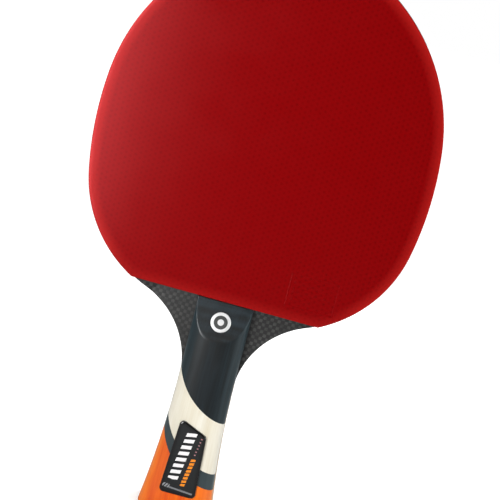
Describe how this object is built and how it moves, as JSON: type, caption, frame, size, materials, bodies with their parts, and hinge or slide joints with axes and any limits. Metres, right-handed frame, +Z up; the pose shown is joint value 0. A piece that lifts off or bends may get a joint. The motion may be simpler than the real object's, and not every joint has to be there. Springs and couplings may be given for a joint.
{
  "type": "table tennis paddle",
  "caption": "Flared-handle table tennis paddle: layered wood blade with carbon outer skins, red and black smooth rubbers on sponge, inlaid wooden handle scales, domed badge and medallion.",
  "frame": {"origin": "middle of the flat butt end, in the blade's middle plane", "axes": "+Z up the handle to the tip of the head; +X to the right when looking at the red face; -Y out of the red face and +Y out of the black face"},
  "size_m": [0.15, 0.0253, 0.257],
  "materials": {
    "core_wood": "sanded",
    "cross_wood": "sanded",
    "dark_veneer": "sanded",
    "carbon_skin": "satin weave",
    "red_sponge": "fine open foam",
    "red_rubber": "satin",
    "black_sponge": "fine open foam",
    "black_rubber": "satin",
    "slate_wood": "stained and lacquered",
    "cream_wood": "lacquered",
    "orange_wood": "stained and lacquered",
    "badge_black": "gloss",
    "badge_resin": "high gloss",
    "medallion_metal": "satin"
  },
  "bodies": {
    "root": {"core_ply": "core_wood", "front_cross_ply": "cross_wood", "back_cross_ply": "cross_wood", "front_veneer": "dark_veneer", "back_veneer": "dark_veneer", "front_carbon_skin": "carbon_skin", "back_carbon_skin": "carbon_skin", "front_sponge": "red_sponge", "red_top_sheet": "red_rubber", "back_sponge": "black_sponge", "black_top_sheet": "black_rubber", "front_slate_top": "slate_wood", "front_cream_inlay": "cream_wood", "front_slate_stripe": "slate_wood", "front_orange_butt": "orange_wood", "back_slate_top": "slate_wood", "back_cream_inlay": "cream_wood", "back_slate_stripe": "slate_wood", "back_orange_butt": "orange_wood", "badge_plate": "badge_black", "badge_dome": "badge_resin", "medallion": "medallion_metal"}
  },
  "joints": []
}
